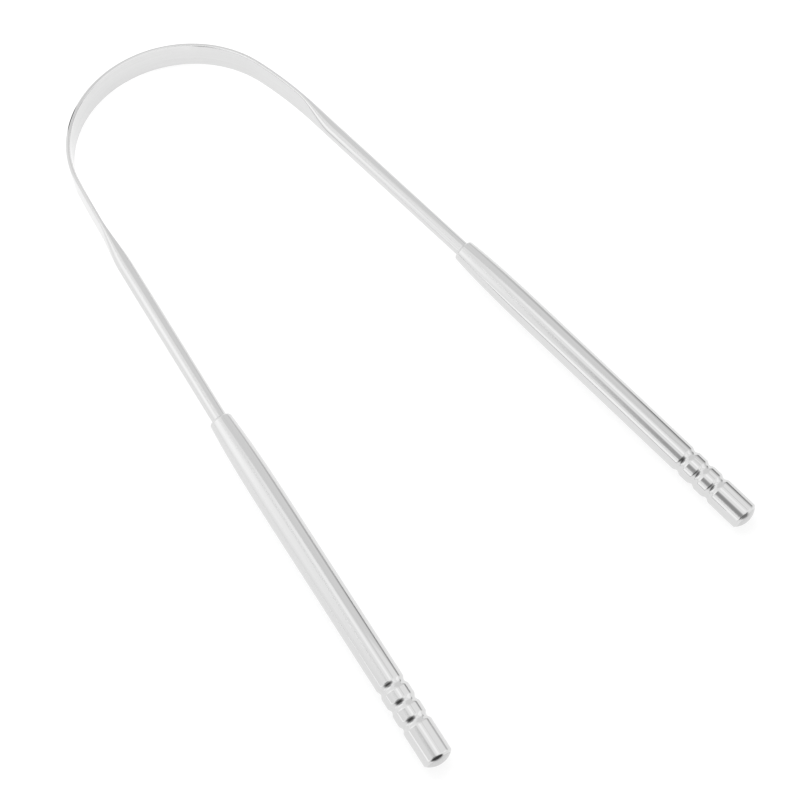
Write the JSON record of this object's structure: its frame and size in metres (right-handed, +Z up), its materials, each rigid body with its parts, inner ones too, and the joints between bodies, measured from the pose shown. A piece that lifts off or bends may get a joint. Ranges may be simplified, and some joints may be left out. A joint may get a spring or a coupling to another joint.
{
  "type": "tongue scraper",
  "caption": "U-shaped tongue scraper: a steel rod pressed flat into a thin scraping arch, its straight legs ending in slim tube handles with rolled grooves.",
  "frame": {"origin": "on the surface that the scraper rests on, under the middle of its outline", "axes": "+Z up, +Y from the handles towards the scraping arch, +X towards the right handle"},
  "size_m": [0.0856, 0.1586, 0.0104],
  "materials": {
    "bow_steel": "polished stainless steel rod, bright all over",
    "handle_steel": "polished stainless steel tube with fine lengthwise polishing",
    "plug_steel": "polished stainless steel, domed together with the tube's rim"
  },
  "bodies": {
    "root": {"scraper_bow": "bow_steel", "left_handle": "handle_steel", "right_handle": "handle_steel", "left_end_plug": "plug_steel", "right_end_plug": "plug_steel"}
  },
  "joints": []
}
